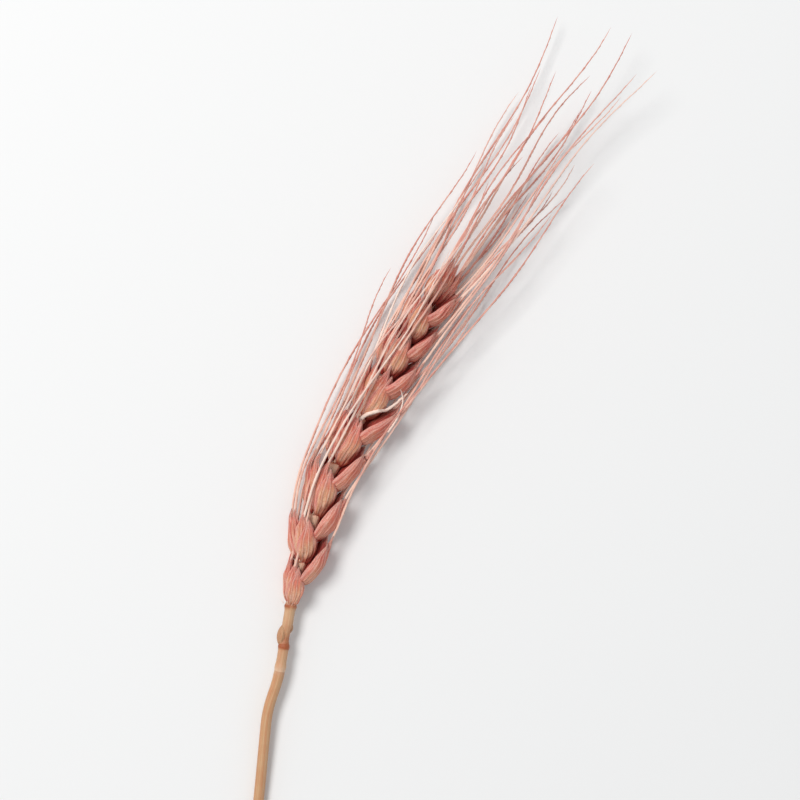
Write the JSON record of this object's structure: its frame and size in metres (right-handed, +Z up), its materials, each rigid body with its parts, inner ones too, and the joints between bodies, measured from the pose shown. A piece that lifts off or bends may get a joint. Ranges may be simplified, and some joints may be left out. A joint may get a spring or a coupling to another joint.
{
  "type": "wheat ear",
  "caption": "Dried bearded wheat ear with overlapping spikelets and long fine awns, on a short cut length of its own straw, lying on its side.",
  "frame": {"origin": "middle of the whole outline seen from above, on the surface that the ear lies on", "axes": "+Z up, +Y along the ear from the cut straw to the ends of the awns, +X to the right seen from above"},
  "size_m": [0.036, 0.1966, 0.0153],
  "materials": {
    "straw": "dry yellow straw, smooth and slightly glossy, with fine lengthwise ribs",
    "chaff": "dry papery husks dyed dusty pink, paler at their tips and tan at their bases, with fine lengthwise veins"
  },
  "bodies": {
    "root": {"stem": "straw", "ear": "chaff"}
  },
  "joints": []
}
